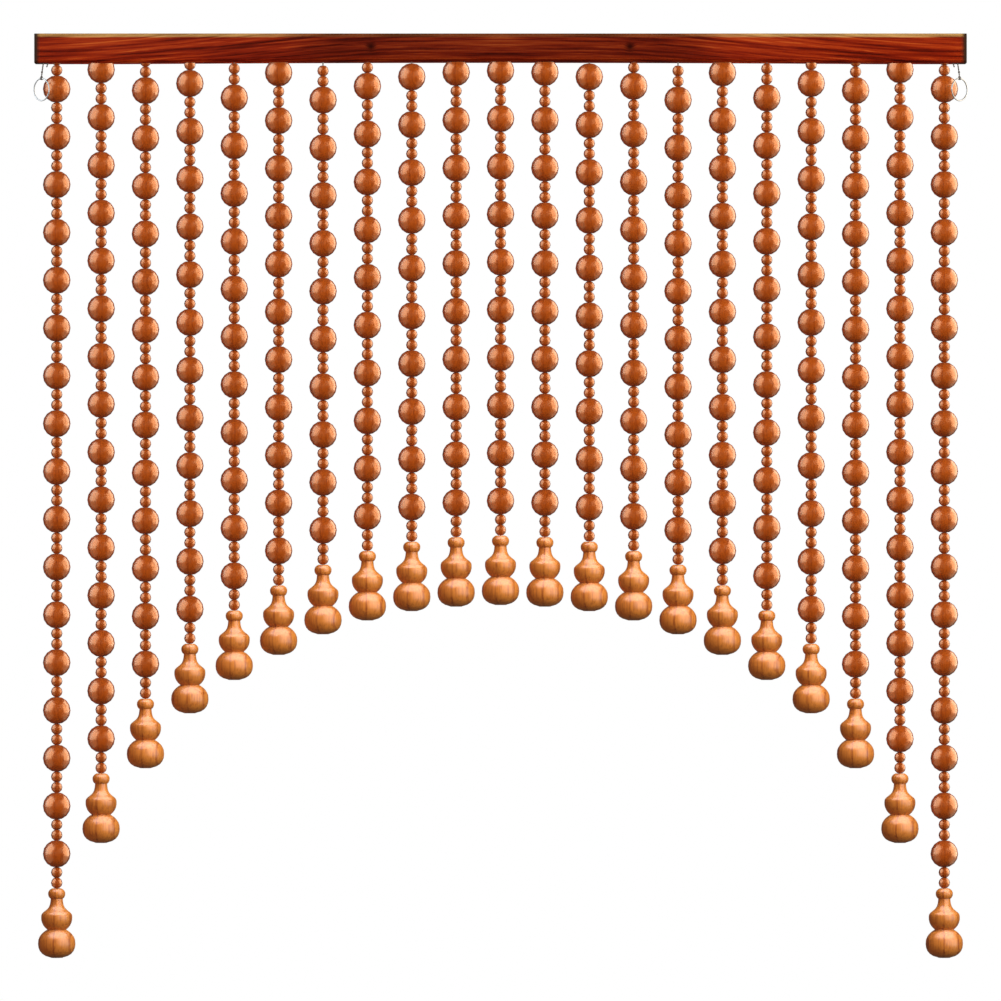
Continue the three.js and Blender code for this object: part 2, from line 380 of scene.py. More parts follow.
def rail_streaks(tree, part, reach):
    """Two signals from 0 to 1 for the rail's long grain: its fine streaks and its small knots."""
    on_face = add_node(tree, "ShaderNodeCombineXYZ", {}, {0: reach, 2: part.outputs["Z"]})
    from_knot = add_node(tree, "ShaderNodeVectorMath", {"operation": "DISTANCE", 1: KNOT["place"]}, {
        0: on_face.outputs[0]})
    knot = add_node(tree, "ShaderNodeMapRange", {
        "interpolation_type": "SMOOTHSTEP", "From Min": KNOT["radius"], "From Max": 0.0,
    }, {"Value": from_knot.outputs["Value"]})
    rise = add_node(tree, "ShaderNodeMapRange", {
        "interpolation_type": "SMOOTHSTEP", "From Min": GRAIN_RISE["start"], "From Max": RAIL_HIGH.x,
        "To Max": GRAIN_RISE["height"]}, {"Value": reach})
    bent = add_node(tree, "ShaderNodeMath", {"operation": "MULTIPLY_ADD", 1: KNOT["bend"]}, {
        0: knot.outputs["Result"], 2: rise.outputs["Result"]})
    climb = add_node(tree, "ShaderNodeMath", {"operation": "ADD"}, {
        0: bent.outputs[0], 1: part.outputs["Z"]})
    drawn_out = add_node(tree, "ShaderNodeMath", {"operation": "MULTIPLY", 1: 0.03}, {0: reach})
    along = add_node(tree, "ShaderNodeCombineXYZ", {}, {
        0: drawn_out.outputs[0], 1: part.outputs["Y"], 2: climb.outputs[0]})
    streaks = add_node(tree, "ShaderNodeTexNoise", {
        "Scale": per(2.5), "Detail": 4.0, "Roughness": 0.62, "Distortion": 0.3,
    }, {"Vector": along.outputs[0]})
    return streaks.outputs["Fac"], knot.outputs["Result"]


def rail_heartwood(tree, settings, coordinate, streaks, knot):
    """Colour of the rail's red heartwood, lighter and darker in broad clouds, and dark at a knot."""
    cloud = add_node(tree, "ShaderNodeTexNoise", {"Scale": per(150), "Detail": 1.0}, {
        "Vector": coordinate})
    clouded = add_node(tree, "ShaderNodeMath", {"operation": "MULTIPLY_ADD", 1: 0.25}, {
        0: cloud.outputs["Fac"], 2: streaks})
    heart = add_node(tree, "ShaderNodeValToRGB", {"stops": [
        (0.44, tuple(settings.dark_streak)),
        (0.55, srgb("#6C1203")),
        (0.63, tuple(settings.heartwood)),
        (0.74, srgb("#A3340B")),
        (0.88, tuple(settings.pale_streak)),
    ]}, {"Fac": clouded.outputs[0]})
    knotted = add_node(tree, "ShaderNodeMix", {"data_type": "RGBA", 7: tuple(settings.dark_streak)}, {
        0: knot, 6: heart.outputs["Color"]})
    return knotted.outputs[2]


def rail_top_edge_highlight(tree, settings, part, reach, streaks):
    """Colour of the highlight painted as a pale strip along the rail's top edges, and its share there."""
    pale_lines = add_node(tree, "ShaderNodeMapRange", {"From Min": 0.35, "From Max": 0.6}, {
        "Value": streaks})
    highlight_colour = add_node(tree, "ShaderNodeMix", {
        "data_type": "RGBA", 6: srgb("#93693A"), 7: tuple(settings.top_edge_highlight),
    }, {0: pale_lines.outputs["Result"]})
    wavering = add_node(tree, "ShaderNodeMath", {"operation": "MULTIPLY_ADD", 1: TOP_EDGE_HIGHLIGHT["waver"]}, {
        0: streaks, 2: part.outputs["Z"]})
    at_top = add_node(tree, "ShaderNodeMapRange", {
        "interpolation_type": "SMOOTHSTEP", "From Min": -TOP_EDGE_HIGHLIGHT["drop"],
        "From Max": -TOP_EDGE_HIGHLIGHT["full_drop"]}, {"Value": wavering.outputs[0]})
    depth = add_node(tree, "ShaderNodeMath", {"operation": "ABSOLUTE"}, {0: part.outputs["Y"]})
    at_edge = add_node(tree, "ShaderNodeMapRange", {
        "interpolation_type": "SMOOTHSTEP", "From Min": RAIL_HIGH.y - TOP_EDGE_HIGHLIGHT["inset"],
        "From Max": RAIL_HIGH.y - TOP_EDGE_HIGHLIGHT["full_inset"]}, {"Value": depth.outputs[0]})
    strip = add_node(tree, "ShaderNodeMath", {"operation": "MULTIPLY"}, {
        0: at_top.outputs["Result"], 1: at_edge.outputs["Result"]})
    fading = add_node(tree, "ShaderNodeMapRange", {
        "interpolation_type": "SMOOTHSTEP", "From Min": FADED_TOP_EDGE_HIGHLIGHT["start"],
        "From Max": FADED_TOP_EDGE_HIGHLIGHT["end"], "To Min": FADED_TOP_EDGE_HIGHLIGHT["share"], "To Max": 1.0,
    }, {"Value": reach})
    share = add_node(tree, "ShaderNodeMath", {"operation": "MULTIPLY"}, {
        0: strip.outputs[0], 1: fading.outputs["Result"]})
    return highlight_colour.outputs[2], share.outputs[0]


def lacquered_rosewood(settings):
    """Lacquered rosewood: long fine streaks from near black to orange under a clear gloss coat.

    They rise to both ends, bend over a small knot and turn darker in the middle. A highlight is painted
    as a pale strip along the top edge. The matt end grain has drunk more of the stain, and painted
    shade darkens the ends further.
    """
    material, tree = empty_material("lacquered_rosewood")
    place = add_node(tree, "ShaderNodeTexCoord")
    part = add_node(tree, "ShaderNodeSeparateXYZ", {}, {0: place.outputs["Object"]})
    from_middle = add_node(tree, "ShaderNodeMath", {"operation": "ABSOLUTE"}, {0: part.outputs["X"]})
    reach = from_middle.outputs[0]
    streaks, knot = rail_streaks(tree, part, reach)
    heartwood = rail_heartwood(tree, settings, place.outputs["Object"], streaks, knot)
    # Painted highlight: a pale strip along the top edges
    top_edge_highlight, top_edge_highlight_share = rail_top_edge_highlight(tree, settings, part, reach, streaks)
    edged = add_node(tree, "ShaderNodeMix", {"data_type": "RGBA"}, {
        0: top_edge_highlight_share, 6: heartwood, 7: top_edge_highlight})
    lightness = add_node(tree, "ShaderNodeMapRange", {
        "interpolation_type": "SMOOTHSTEP", "From Min": DARK_MIDDLE["start"],
        "From Max": DARK_MIDDLE["end"], "To Min": DARK_MIDDLE["brightness"], "To Max": 1.0,
    }, {"Value": reach})
    zoned = add_node(tree, "ShaderNodeHueSaturation", {}, {
        "Value": lightness.outputs["Result"], "Color": edged.outputs[2]})
    # Darker ends: end grain that drank more stain, with painted shade on the rail's ends
    end_grain_and_shade = add_node(tree, "ShaderNodeMapRange", {
        "interpolation_type": "SMOOTHSTEP", "From Min": RAIL_HIGH.x - END_GRAIN_AND_SHADE["inset"],
        "From Max": RAIL_HIGH.x - END_GRAIN_AND_SHADE["full_inset"]}, {"Value": reach})
    ended_and_shaded = add_node(tree, "ShaderNodeMix", {"data_type": "RGBA", 7: srgb("#210B03")}, {
        0: end_grain_and_shade.outputs["Result"], 6: zoned.outputs["Color"]})
    roughness = add_node(tree, "ShaderNodeMapRange", {"To Min": 0.25, "To Max": 0.9}, {
        "Value": end_grain_and_shade.outputs["Result"]})
    bump = add_node(tree, "ShaderNodeBump", {"Strength": 0.15, "Distance": 0.1 * MM}, {
        "Height": streaks})
    surface = add_node(tree, "ShaderNodeBsdfPrincipled", {
        "IOR": 1.5, "Specular IOR Level": 0.18, "Specular Tint": srgb("#FFE0BE"),
    }, {
        "Base Color": ended_and_shaded.outputs[2], "Roughness": roughness.outputs["Result"],
        "Normal": bump.outputs["Normal"]})
    add_node(tree, "ShaderNodeOutputMaterial", {}, {"Surface": surface.outputs["BSDF"]})
    return material


def drawn_steel():
    """Drawn steel wire, bright, with fine marks along it that spread the highlight."""
    material, tree = empty_material("drawn_steel_wire")
    place = add_node(tree, "ShaderNodeTexCoord")
    marks = add_node(tree, "ShaderNodeTexNoise", {"Scale": per(1.5), "Detail": 3.0}, {
        "Vector": place.outputs["Object"]})
    rough = add_node(tree, "ShaderNodeMapRange", {"To Min": 0.32, "To Max": 0.5}, {
        "Value": marks.outputs["Fac"]})
    surface = add_node(tree, "ShaderNodeBsdfPrincipled", {
        "Base Color": srgb("#858A8E"), "Metallic": 1.0}, {"Roughness": rough.outputs["Result"]})
    add_node(tree, "ShaderNodeOutputMaterial", {}, {"Surface": surface.outputs["BSDF"]})
    return material


def waxed_cord(settings):
    """Waxed cotton cord: nearly black, with a dull sheen and short pale fibres."""
    material, tree = empty_material("waxed_cotton_cord")
    place = add_node(tree, "ShaderNodeTexCoord")
    fibres = add_node(tree, "ShaderNodeTexNoise", {"Scale": per(0.4), "Detail": 2.0}, {
        "Vector": place.outputs["Object"]})
    colour = add_node(tree, "ShaderNodeMix", {
        "data_type": "RGBA", 6: tuple(settings.cord_colour), 7: srgb("#5B534B"),
    }, {0: fibres.outputs["Fac"]})
    surface = add_node(tree, "ShaderNodeBsdfPrincipled", {"Roughness": 0.7, "Sheen Weight": 0.2}, {
        "Base Color": colour.outputs[2]})
    add_node(tree, "ShaderNodeOutputMaterial", {}, {"Surface": surface.outputs["BSDF"]})
    return material


def painted_floor():
    """Matt painted floor, pale and plain, with a faint unevenness of the roller."""
    material, tree = empty_material("matt_floor_paint")
    place = add_node(tree, "ShaderNodeTexCoord")
    mottle = add_node(tree, "ShaderNodeTexNoise", {"Scale": per(120), "Detail": 2.0}, {
        "Vector": place.outputs["Object"]})
    colour = add_node(tree, "ShaderNodeMix", {
        "data_type": "RGBA", 6: srgb("#EFEEEB"), 7: srgb("#F6F5F2"),
    }, {0: mottle.outputs["Fac"]})
    surface = add_node(tree, "ShaderNodeBsdfPrincipled", {"Roughness": 0.8}, {
        "Base Color": colour.outputs[2]})
    add_node(tree, "ShaderNodeOutputMaterial", {}, {"Surface": surface.outputs["BSDF"]})
    return material


# Modelling

def start_piece(name):
    """Names the primitive that was just added, alone in the selection, and returns it."""
    piece = bpy.context.active_object
    piece.name = name
    piece.data.name = name
    return piece


def settle(piece, smooth_angle=math.radians(40)):
    """Puts a piece's place in its mesh, turns its faces outwards and smooths what isn't a sharp edge."""
    bpy.ops.object.select_all(action="DESELECT")
    piece.select_set(True)
    bpy.context.view_layer.objects.active = piece
    bpy.ops.object.transform_apply(location=True, rotation=True, scale=True)
    bpy.ops.object.mode_set(mode="EDIT")
    bpy.ops.mesh.select_all(action="SELECT")
    bpy.ops.mesh.remove_doubles(threshold=0.001 * MM)
    bpy.ops.mesh.normals_make_consistent(inside=False)
    bpy.ops.object.mode_set(mode="OBJECT")
    bpy.ops.object.shade_smooth_by_angle(angle=smooth_angle)


def apply_modifier(piece, kind, **settings):
    """Adds a modifier, sets it and applies it."""
    bpy.context.view_layer.objects.active = piece
    modifier = piece.modifiers.new(kind.title(), kind)
    for name, value in settings.items():
        setattr(modifier, name, value)
    bpy.ops.object.modifier_apply(modifier=modifier.name)


def cut(piece, tool):
    """Cuts the tool's shape out of the piece and removes the tool."""
    apply_modifier(piece, "BOOLEAN", operation="DIFFERENCE", object=tool, solver="EXACT")
    bpy.data.objects.remove(tool)


def join(pieces, name):
    """Joins pieces into one, under that name."""
    bpy.ops.object.select_all(action="DESELECT")
    for piece in pieces:
        piece.select_set(True)
    bpy.context.view_layer.objects.active = pieces[0]
    bpy.ops.object.join()
    return start_piece(name)


def dress(piece, material, slot, *nodes):
    """Gives a finished piece its material, and lets it ride with the curtain."""
    piece.data.materials.clear()
    piece.data.materials.append(material)
    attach(piece, BODY)
    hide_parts(*nodes)


def lay_grain(piece, draw, ring_spacing, sway, tone):
    """Stores a turned piece's grain coordinates, shifted so that its figure is its own, and its tint.

    A dark growth ring crosses the middle of the front, and the piece is turned from that by up to
    the sway. The tone is the mean brightness that the tints vary about.
    """
    mesh = piece.data
    pith = Vector((
        (draw.randint(*PITH_RINGS) * ring_spacing + 1) * MM,
        draw.uniform(*PITH_ASIDE) * MM,
        draw.uniform(*PITH_ALONG)))
    spun = Matrix.Rotation(draw.uniform(-sway, sway), 3, "Z")
    points = [spun @ v.co + pith for v in mesh.vertices]
    grain = mesh.attributes.new("grain", "FLOAT_VECTOR", "POINT")
    grain.data.foreach_set("vector", [c for point in points for c in point])
    tint = mesh.attributes.new("tint", "FLOAT", "POINT")
    tint.data.foreach_set("value", [tone * draw.uniform(*TINTS)] * len(mesh.vertices))


def copy_to(source, place, draw, ring_spacing, sway, tone=1.0):
    """A copy of a turned piece at a place on its strand, with its own mesh and its own grain."""
    piece = source.copy()
    piece.data = source.data.copy()
    bpy.context.scene.collection.objects.link(piece)
    lay_grain(piece, draw, ring_spacing, sway, tone)
    piece.data.transform(Matrix.Translation(place))
    return piece


def model_bead(name, diameter, step, segments, bands):
    """A turned ball, faced off flat at both ends of its hole.

    Its corners stand a little outside the round, so that the flats between them average out on it.
    """
    outside = math.sqrt(math.pi / bands / math.sin(math.pi / bands))
    bpy.ops.object.select_all(action="DESELECT")
    bpy.ops.mesh.primitive_uv_sphere_add(
        segments=segments, ring_count=bands, radius=outside * diameter / 2)
    bead = start_piece(name)
    bpy.ops.object.mode_set(mode="EDIT")
    for end in (-1, 1):
        bpy.ops.mesh.select_all(action="SELECT")
        bpy.ops.mesh.bisect(
            plane_co=(0, 0, end * step / 2), plane_no=(0, 0, end), clear_outer=True, use_fill=True)
    bpy.ops.object.mode_set(mode="OBJECT")
    settle(bead, math.radians(60))
    return bead


def ellipse(share, fullness=2.0):
    """Radius of a unit superellipse at a share of its half height."""
    return max(0.0, 1 - abs(share) ** fullness) ** (1 / fullness)


def pendant_radius(height):
    """Radius of the pendant's outline at a height above its foot, in millimetres."""
    if height <= BELLY["height"]:
        arc = BELLY["radius"] * ellipse(1 - height / BELLY["height"], BELLY["fullness"])
        return max(FOOT_RADIUS, arc)
    if height <= WAIST_HEIGHT:
        share = (height - BELLY["height"]) / BELLY["rise"]
        return BELLY["radius"] * ellipse(share, BELLY["fullness_above"])
    if height <= SHOULDER["height"]:
        return SHOULDER["radius"] * ellipse((SHOULDER["height"] - height) / SHOULDER["drop"])
    if height <= LIP_CREASE_HEIGHT:
        share = (height - SHOULDER["height"]) / SHOULDER["rise"]
        return NECK_RADIUS + (SHOULDER["radius"] - NECK_RADIUS) / (1 + share ** 4)
    reach = LIP["rise"] if height > LIP["height"] else LIP["drop"]
    return LIP["radius"] * ellipse((height - LIP["height"]) / reach, LIP["fullness"])


def pendant_heights():
    """Heights of the pendant's rings of faces, closer together where the outline turns fast."""
    angles = (0, 14, 28, 42, 56, 70, 84)
    belly = [BELLY["height"] * (1 - math.cos(math.radians(angle))) for angle in angles]
    waist = [16.5, 19, 21.2, 23, 24.4, WAIST_HEIGHT]
    shoulder = [26.4, 27.8, 29.8, 32.2, 34.8, 37.2, 39, 40.4, 41.6, 42.6, 43.6, 44.6, 45.8, 47.2]
    lip = [LIP_CREASE_HEIGHT, 54.6, 55.6, 57, 58.6, 60, 61.3, 62.4, 63.1, 63.4]
    return belly + waist + shoulder + [49, 51, 52.6] + lip


def draw_up(rise, widening, height):
    """Extrudes the selected disc upwards and widens it about the axis."""
    bpy.ops.mesh.extrude_region_move(TRANSFORM_OT_translate={"value": (0, 0, rise)})
    bpy.ops.transform.resize(value=(widening, widening, 1), center_override=(0, 0, height))


def model_pendant(settings):
    """A gourd drawn up ring by ring from its foot, drilled down through its lip."""
    heights = pendant_heights()
    bpy.ops.object.select_all(action="DESELECT")
    bpy.ops.mesh.primitive_circle_add(
        vertices=settings.segments, radius=pendant_radius(0) * MM, fill_type="NGON")
    pendant = start_piece("pendant")
    bpy.ops.object.mode_set(mode="EDIT")
    bpy.ops.mesh.select_all(action="SELECT")
    for below, above in zip(heights, heights[1:]):
        draw_up((above - below) * MM, pendant_radius(above) / pendant_radius(below), above * MM)
    rim = heights[-1]
    draw_up(0, LIP_HOLE["radius"] / pendant_radius(rim), rim * MM)
    draw_up(-LIP_HOLE["depth"] * MM, 1, (rim - LIP_HOLE["depth"]) * MM)
    bpy.ops.object.mode_set(mode="OBJECT")
    settle(pendant)
    return pendant


def strand_number(node):
    return node.rsplit("_", 1)[1]


def strand_axis(node):
    """X of the strand, worked out from the pendant at its foot, and the strand's lowest and highest Z."""
    low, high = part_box(node)
    number = int(strand_number(node))
    middle = (len(STRAND_NODES) + 1) / 2
    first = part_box(PENDANT_NODES[0])
    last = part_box(PENDANT_NODES[-1])
    pitch = (last[0].x - first[0].x) / (len(STRAND_NODES) - 1)
    return (number - middle) * pitch, low.z, high.z


def hollow_underside(rail, rise):
    """Planes the rail's underside to a long flat arc that rises in the middle."""
    bpy.ops.object.select_all(action="DESELECT")
    bpy.ops.mesh.primitive_cylinder_add(
        vertices=96, radius=1, depth=2 * (RAIL_HIGH - RAIL_LOW).y, rotation=(math.radians(90), 0, 0),
        location=(0, 0, RAIL_LOW.z + rise - HOLLOW_ARC[1]))
    arc = start_piece("hollow")
    bpy.ops.object.transform_apply(location=False, rotation=True, scale=False)
    arc.scale = (HOLLOW_ARC[0], 1, HOLLOW_ARC[1])
    cut(rail, arc)


def chamfer_front_and_back(rail, width):
    """Planes a flat off every edge round the rail's front and back."""
    bpy.ops.object.mode_set(mode="EDIT")
    bpy.ops.mesh.select_mode(type="EDGE")
    bpy.ops.mesh.select_all(action="DESELECT")
    bpy.ops.object.mode_set(mode="OBJECT")
    for edge in rail.data.edges:
        start, end = (rail.data.vertices[i].co for i in edge.vertices)
        edge.select = abs(start.y - end.y) < MM
    bpy.ops.object.mode_set(mode="EDIT")
    bpy.ops.mesh.bevel(offset=width, segments=1, affect="EDGES", clamp_overlap=True)
    bpy.ops.object.mode_set(mode="OBJECT")


def drill_cord_holes(rail):
    """Drills a hole for every strand's cord into the roof of the rail's groove."""
    left = strand_axis(STRAND_NODES[0])[0]
    right = strand_axis(STRAND_NODES[-1])[0]
    roof = RAIL_LOW.z + GROOVE_DEPTH
    bpy.ops.object.select_all(action="DESELECT")
    bpy.ops.mesh.primitive_cylinder_add(
        vertices=16, radius=CORD_HOLE_RADIUS, depth=2 * CORD_HOLE_DEPTH, location=(left, 0, roof))
    drill = start_piece("cord_holes")
    apply_modifier(drill, "ARRAY", count=len(STRAND_NODES), use_relative_offset=False,
                   use_constant_offset=True,
                   constant_offset_displace=((right - left) / (len(STRAND_NODES) - 1), 0, 0))
    cut(rail, drill)


class BEADCURTAIN_OT_rail(bpy.types.Operator):
    """Model the header rail, chamfered, grooved underneath and drilled for the cords"""

    bl_idname = "bead_curtain.rail"
    bl_label = "Header rail"

    def execute(self, context):
        settings = context.scene.bead_curtain_rail
        size = RAIL_HIGH - RAIL_LOW
        bpy.ops.object.select_all(action="DESELECT")
        bpy.ops.mesh.primitive_cube_add(size=1, location=(RAIL_LOW + RAIL_HIGH) / 2, scale=size)
        rail = start_piece("header_rail")
        bpy.ops.object.transform_apply(location=True, rotation=True, scale=True)
        hollow_underside(rail, settings.hollow)
        chamfer_front_and_back(rail, settings.chamfer)
        bpy.ops.mesh.primitive_cube_add(
            size=1, location=(0, 0, RAIL_LOW.z),
            scale=(size.x - 2 * GROOVE_END_WALL, GROOVE_WIDTH, 2 * GROOVE_DEPTH))
        cut(rail, start_piece("groove"))
        apply_modifier(rail, "BEVEL", width=settings.worn_edge, segments=2, limit_method="ANGLE",
                       angle_limit=math.radians(30), use_clamp_overlap=True)
        drill_cord_holes(rail)
        settle(rail, math.radians(25))
        # It throws no shadow on the beads and doesn't show in their gloss
        rail.visible_glossy = False
        rail.visible_shadow = False
        dress(rail, lacquered_rosewood(settings), "rail_wood", "rail")
        return {"FINISHED"}


class BEADCURTAIN_OT_strands(bpy.types.Operator):
    """Thread the turned beads on every strand, from the pendant up to the groove's roof"""

    bl_idname = "bead_curtain.strands"
    bl_label = "Threaded beads"

    def execute(self, context):
        settings = context.scene.bead_curtain_beads
        large = model_bead(
            "large_bead", settings.large_diameter, settings.large_step, *LARGE_BEAD_FACES)
        small = model_bead(
            "small_bead", settings.small_diameter, settings.small_step, *SMALL_BEAD_FACES)
        little = (small, settings.small_step, settings.small_tone)
        pattern = [little, little, (large, settings.large_step, 1.0)]
        gloss = {
            "Roughness": 0.28, "IOR": 1.5, "Specular IOR Level": 0.9, "Specular Tint": srgb("#FFD9A8")}
        finish = turned_wood(
            "stained_beech_beads", settings, BEAD_RINGS, ring_depth=0.4, fibre_depth=0.5, finish=gloss)
        draw = random.Random(settings.seed)
        for node in STRAND_NODES:
            x, z, roof = strand_axis(node)
            beads = []
            source, step, tone = pattern[0]
            while z + step <= roof:
                beads.append(copy_to(
                    source, (x, 0, z + step / 2), draw, BEAD_RINGS, BEAD_SWAY, tone))
                z += step
                source, step, tone = pattern[len(beads) % len(pattern)]
            strand = join(beads, "beads_" + strand_number(node))
            strand.visible_glossy = False
            dress(strand, finish, "bead_wood", node)
        bpy.data.objects.remove(large)
        bpy.data.objects.remove(small)
        return {"FINISHED"}


class BEADCURTAIN_OT_pendants(bpy.types.Operator):
    """Hang a turned gourd at the foot of every strand"""

    bl_idname = "bead_curtain.pendants"
    bl_label = "Gourd pendants"

    def execute(self, context):
        settings = context.scene.bead_curtain_pendants
        source = model_pendant(settings)
        gloss = {"Roughness": 0.32, "IOR": 1.5, "Specular IOR Level": 0.8}
        finish = turned_wood(
            "oiled_beech_pendants", settings, PENDANT_RINGS, ring_depth=0.5, fibre_depth=0.55,
            finish=gloss)
        draw = random.Random(context.scene.bead_curtain_beads.seed + 1)
        for strand, node in zip(STRAND_NODES, PENDANT_NODES):
            foot = (strand_axis(strand)[0], 0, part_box(node)[0].z)
            pendant = copy_to(source, foot, draw, PENDANT_RINGS, PENDANT_SWAY)
            pendant.name = "gourd_" + strand_number(node)
            pendant.data.name = pendant.name
            pendant.visible_glossy = False
            dress(pendant, finish, "pendant_wood", node)
        bpy.data.objects.remove(source)
        return {"FINISHED"}


class BEADCURTAIN_OT_cords(bpy.types.Operator):
    """Run a cord up through each strand, from the pendant's lip into the rail"""

    bl_idname = "bead_curtain.cords"
    bl_label = "Strand cords"

    def execute(self, context):
        settings = context.scene.bead_curtain_fittings
        cords = []
        for node in STRAND_NODES:
            x, foot, roof = strand_axis(node)
            low = foot - CORD_SEAT * LIP_HOLE["depth"] * MM
            high = roof + CORD_SEAT * CORD_HOLE_DEPTH
            bpy.ops.object.select_all(action="DESELECT")
            bpy.ops.mesh.primitive_cylinder_add(
                vertices=8, radius=STRAND_CORD_PLIES * settings.cord_radius, depth=high - low,
                location=(x, 0, (low + high) / 2))
            cords.append(start_piece("strand_cord"))
        piece = join(cords, "strand_cords")
        settle(piece)
        dress(piece, waxed_cord(settings), "cord")
        return {"FINISHED"}


class BEADCURTAIN_OT_rings(bpy.types.Operator):
    """Tie a steel ring on a short twisted cord under each end of the rail"""

    bl_idname = "bead_curtain.rings"
    bl_label = "Hanging rings"

    def execute(self, context):
        settings = context.scene.bead_curtain_fittings
        steel = drawn_steel()
        cotton = waxed_cord(settings)
        for side, label in ((-1, "left"), (1, "right")):
            low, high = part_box("ring_" + label)
            centre = (low + high) / 2
            turn = side * settings.ring_turn
            bpy.ops.object.select_all(action="DESELECT")
            bpy.ops.mesh.primitive_torus_add(
                major_radius=settings.ring_radius, minor_radius=settings.wire_radius,
                major_segments=64, minor_segments=10, location=centre,
                rotation=(math.radians(90), 0, turn))
            ring = start_piece("steel_ring_" + label)
            settle(ring)
            dress(ring, steel, "ring_steel", "ring_" + label)
            cord = model_ring_cord(settings, label, side, centre)
            dress(cord, cotton, "cord", "ring_cord_" + label)
        return {"FINISHED"}


def twisted_cord(settings, start, end):
    """A two-ply cord from one point to another: two round plies turned about each other."""
    length = (end - start).length
    ply = settings.cord_radius
    plies = []
    for offset in (-ply, ply):
        bpy.ops.object.select_all(action="DESELECT")
        bpy.ops.mesh.primitive_circle_add(
            vertices=8, radius=ply, fill_type="NOTHING", location=(PLY_SPACING * offset, 0, 0))
        plies.append(start_piece("ply"))
        bpy.ops.object.transform_apply(location=True, rotation=True, scale=True)
    cord = join(plies, "cord")
    steps = max(8, round(10 * length / CORD_TWIST))
    apply_modifier(cord, "SCREW", axis="Z", angle=2 * math.pi * length / CORD_TWIST,
                   screw_offset=length, steps=steps, render_steps=steps, use_merge_vertices=False)
    bpy.ops.object.mode_set(mode="EDIT")
    bpy.ops.mesh.select_all(action="DESELECT")
    bpy.ops.mesh.select_non_manifold(extend=False)
    bpy.ops.mesh.edge_face_add()
    bpy.ops.object.mode_set(mode="OBJECT")
    tilt = (end - start).to_track_quat("Z", "Y").to_matrix().to_4x4()
    cord.data.transform(Matrix.Translation(start) @ tilt)
    return cord


def model_ring_cord(settings, label, side, ring_centre):
    """The ring's cord: a twisted stem with a knot half way, two turns round the wire and a free end."""
    rail_end = RAIL_HIGH.x if side > 0 else RAIL_LOW.x
    top = Vector((rail_end - side * STEM_INSET, ring_centre.y, RAIL_LOW.z + HIDDEN_CORD))
    eye = Vector((ring_centre.x, ring_centre.y, ring_centre.z + settings.ring_radius))
    knot = Vector((rail_end - side * KNOT_INSET, ring_centre.y, RAIL_LOW.z - KNOT_DROP))
    parts = [
        twisted_cord(settings, knot, top),
        twisted_cord(settings, eye + Vector((0, 0, STEM_FOOT)), knot),
    ]
    ply = settings.cord_radius
    turn = side * settings.ring_turn
    above = Vector((0, 0, HALF_TURN_GAP))
    aside = Vector((HALF_TURN_GAP, 0, 0))
    round_wire = 1.9 * ply + 0.6 * settings.wire_radius
    # Place, radius and tilt of the turns: two at the knot, a collar over the wire and two round it
    wraps = [
        (knot + above, 1.6 * ply, (math.radians(14), 0, 0)),
        (knot - above, 1.6 * ply, (math.radians(-12), math.radians(8), 0)),
        (eye + Vector((0, 0, COLLAR_HEIGHT)), 1.8 * ply, (math.radians(10), 0, 0)),
        (eye + aside, round_wire, (0, math.radians(90), turn + math.radians(6))),
        (eye - aside, round_wire, (0, math.radians(90), turn - math.radians(6))),
    ]
    for place, radius, rotation in wraps:
        bpy.ops.object.select_all(action="DESELECT")
        bpy.ops.mesh.primitive_torus_add(
            major_radius=radius, minor_radius=1.15 * ply, major_segments=16, minor_segments=8,
            location=place, rotation=rotation)
        parts.append(start_piece("wrap"))
        bpy.ops.object.transform_apply(location=True, rotation=True, scale=True)
    tail_top = Vector((rail_end - side * FREE_END["inset"], ring_centre.y, RAIL_LOW.z + HIDDEN_CORD))
    tail_end = tail_top + Vector((side * FREE_END["lean"], 0, -FREE_END["length"]))
    parts.append(twisted_cord(settings, tail_end, tail_top))
    cord = join(parts, "tied_cord_" + label)
    settle(cord)
    return cord


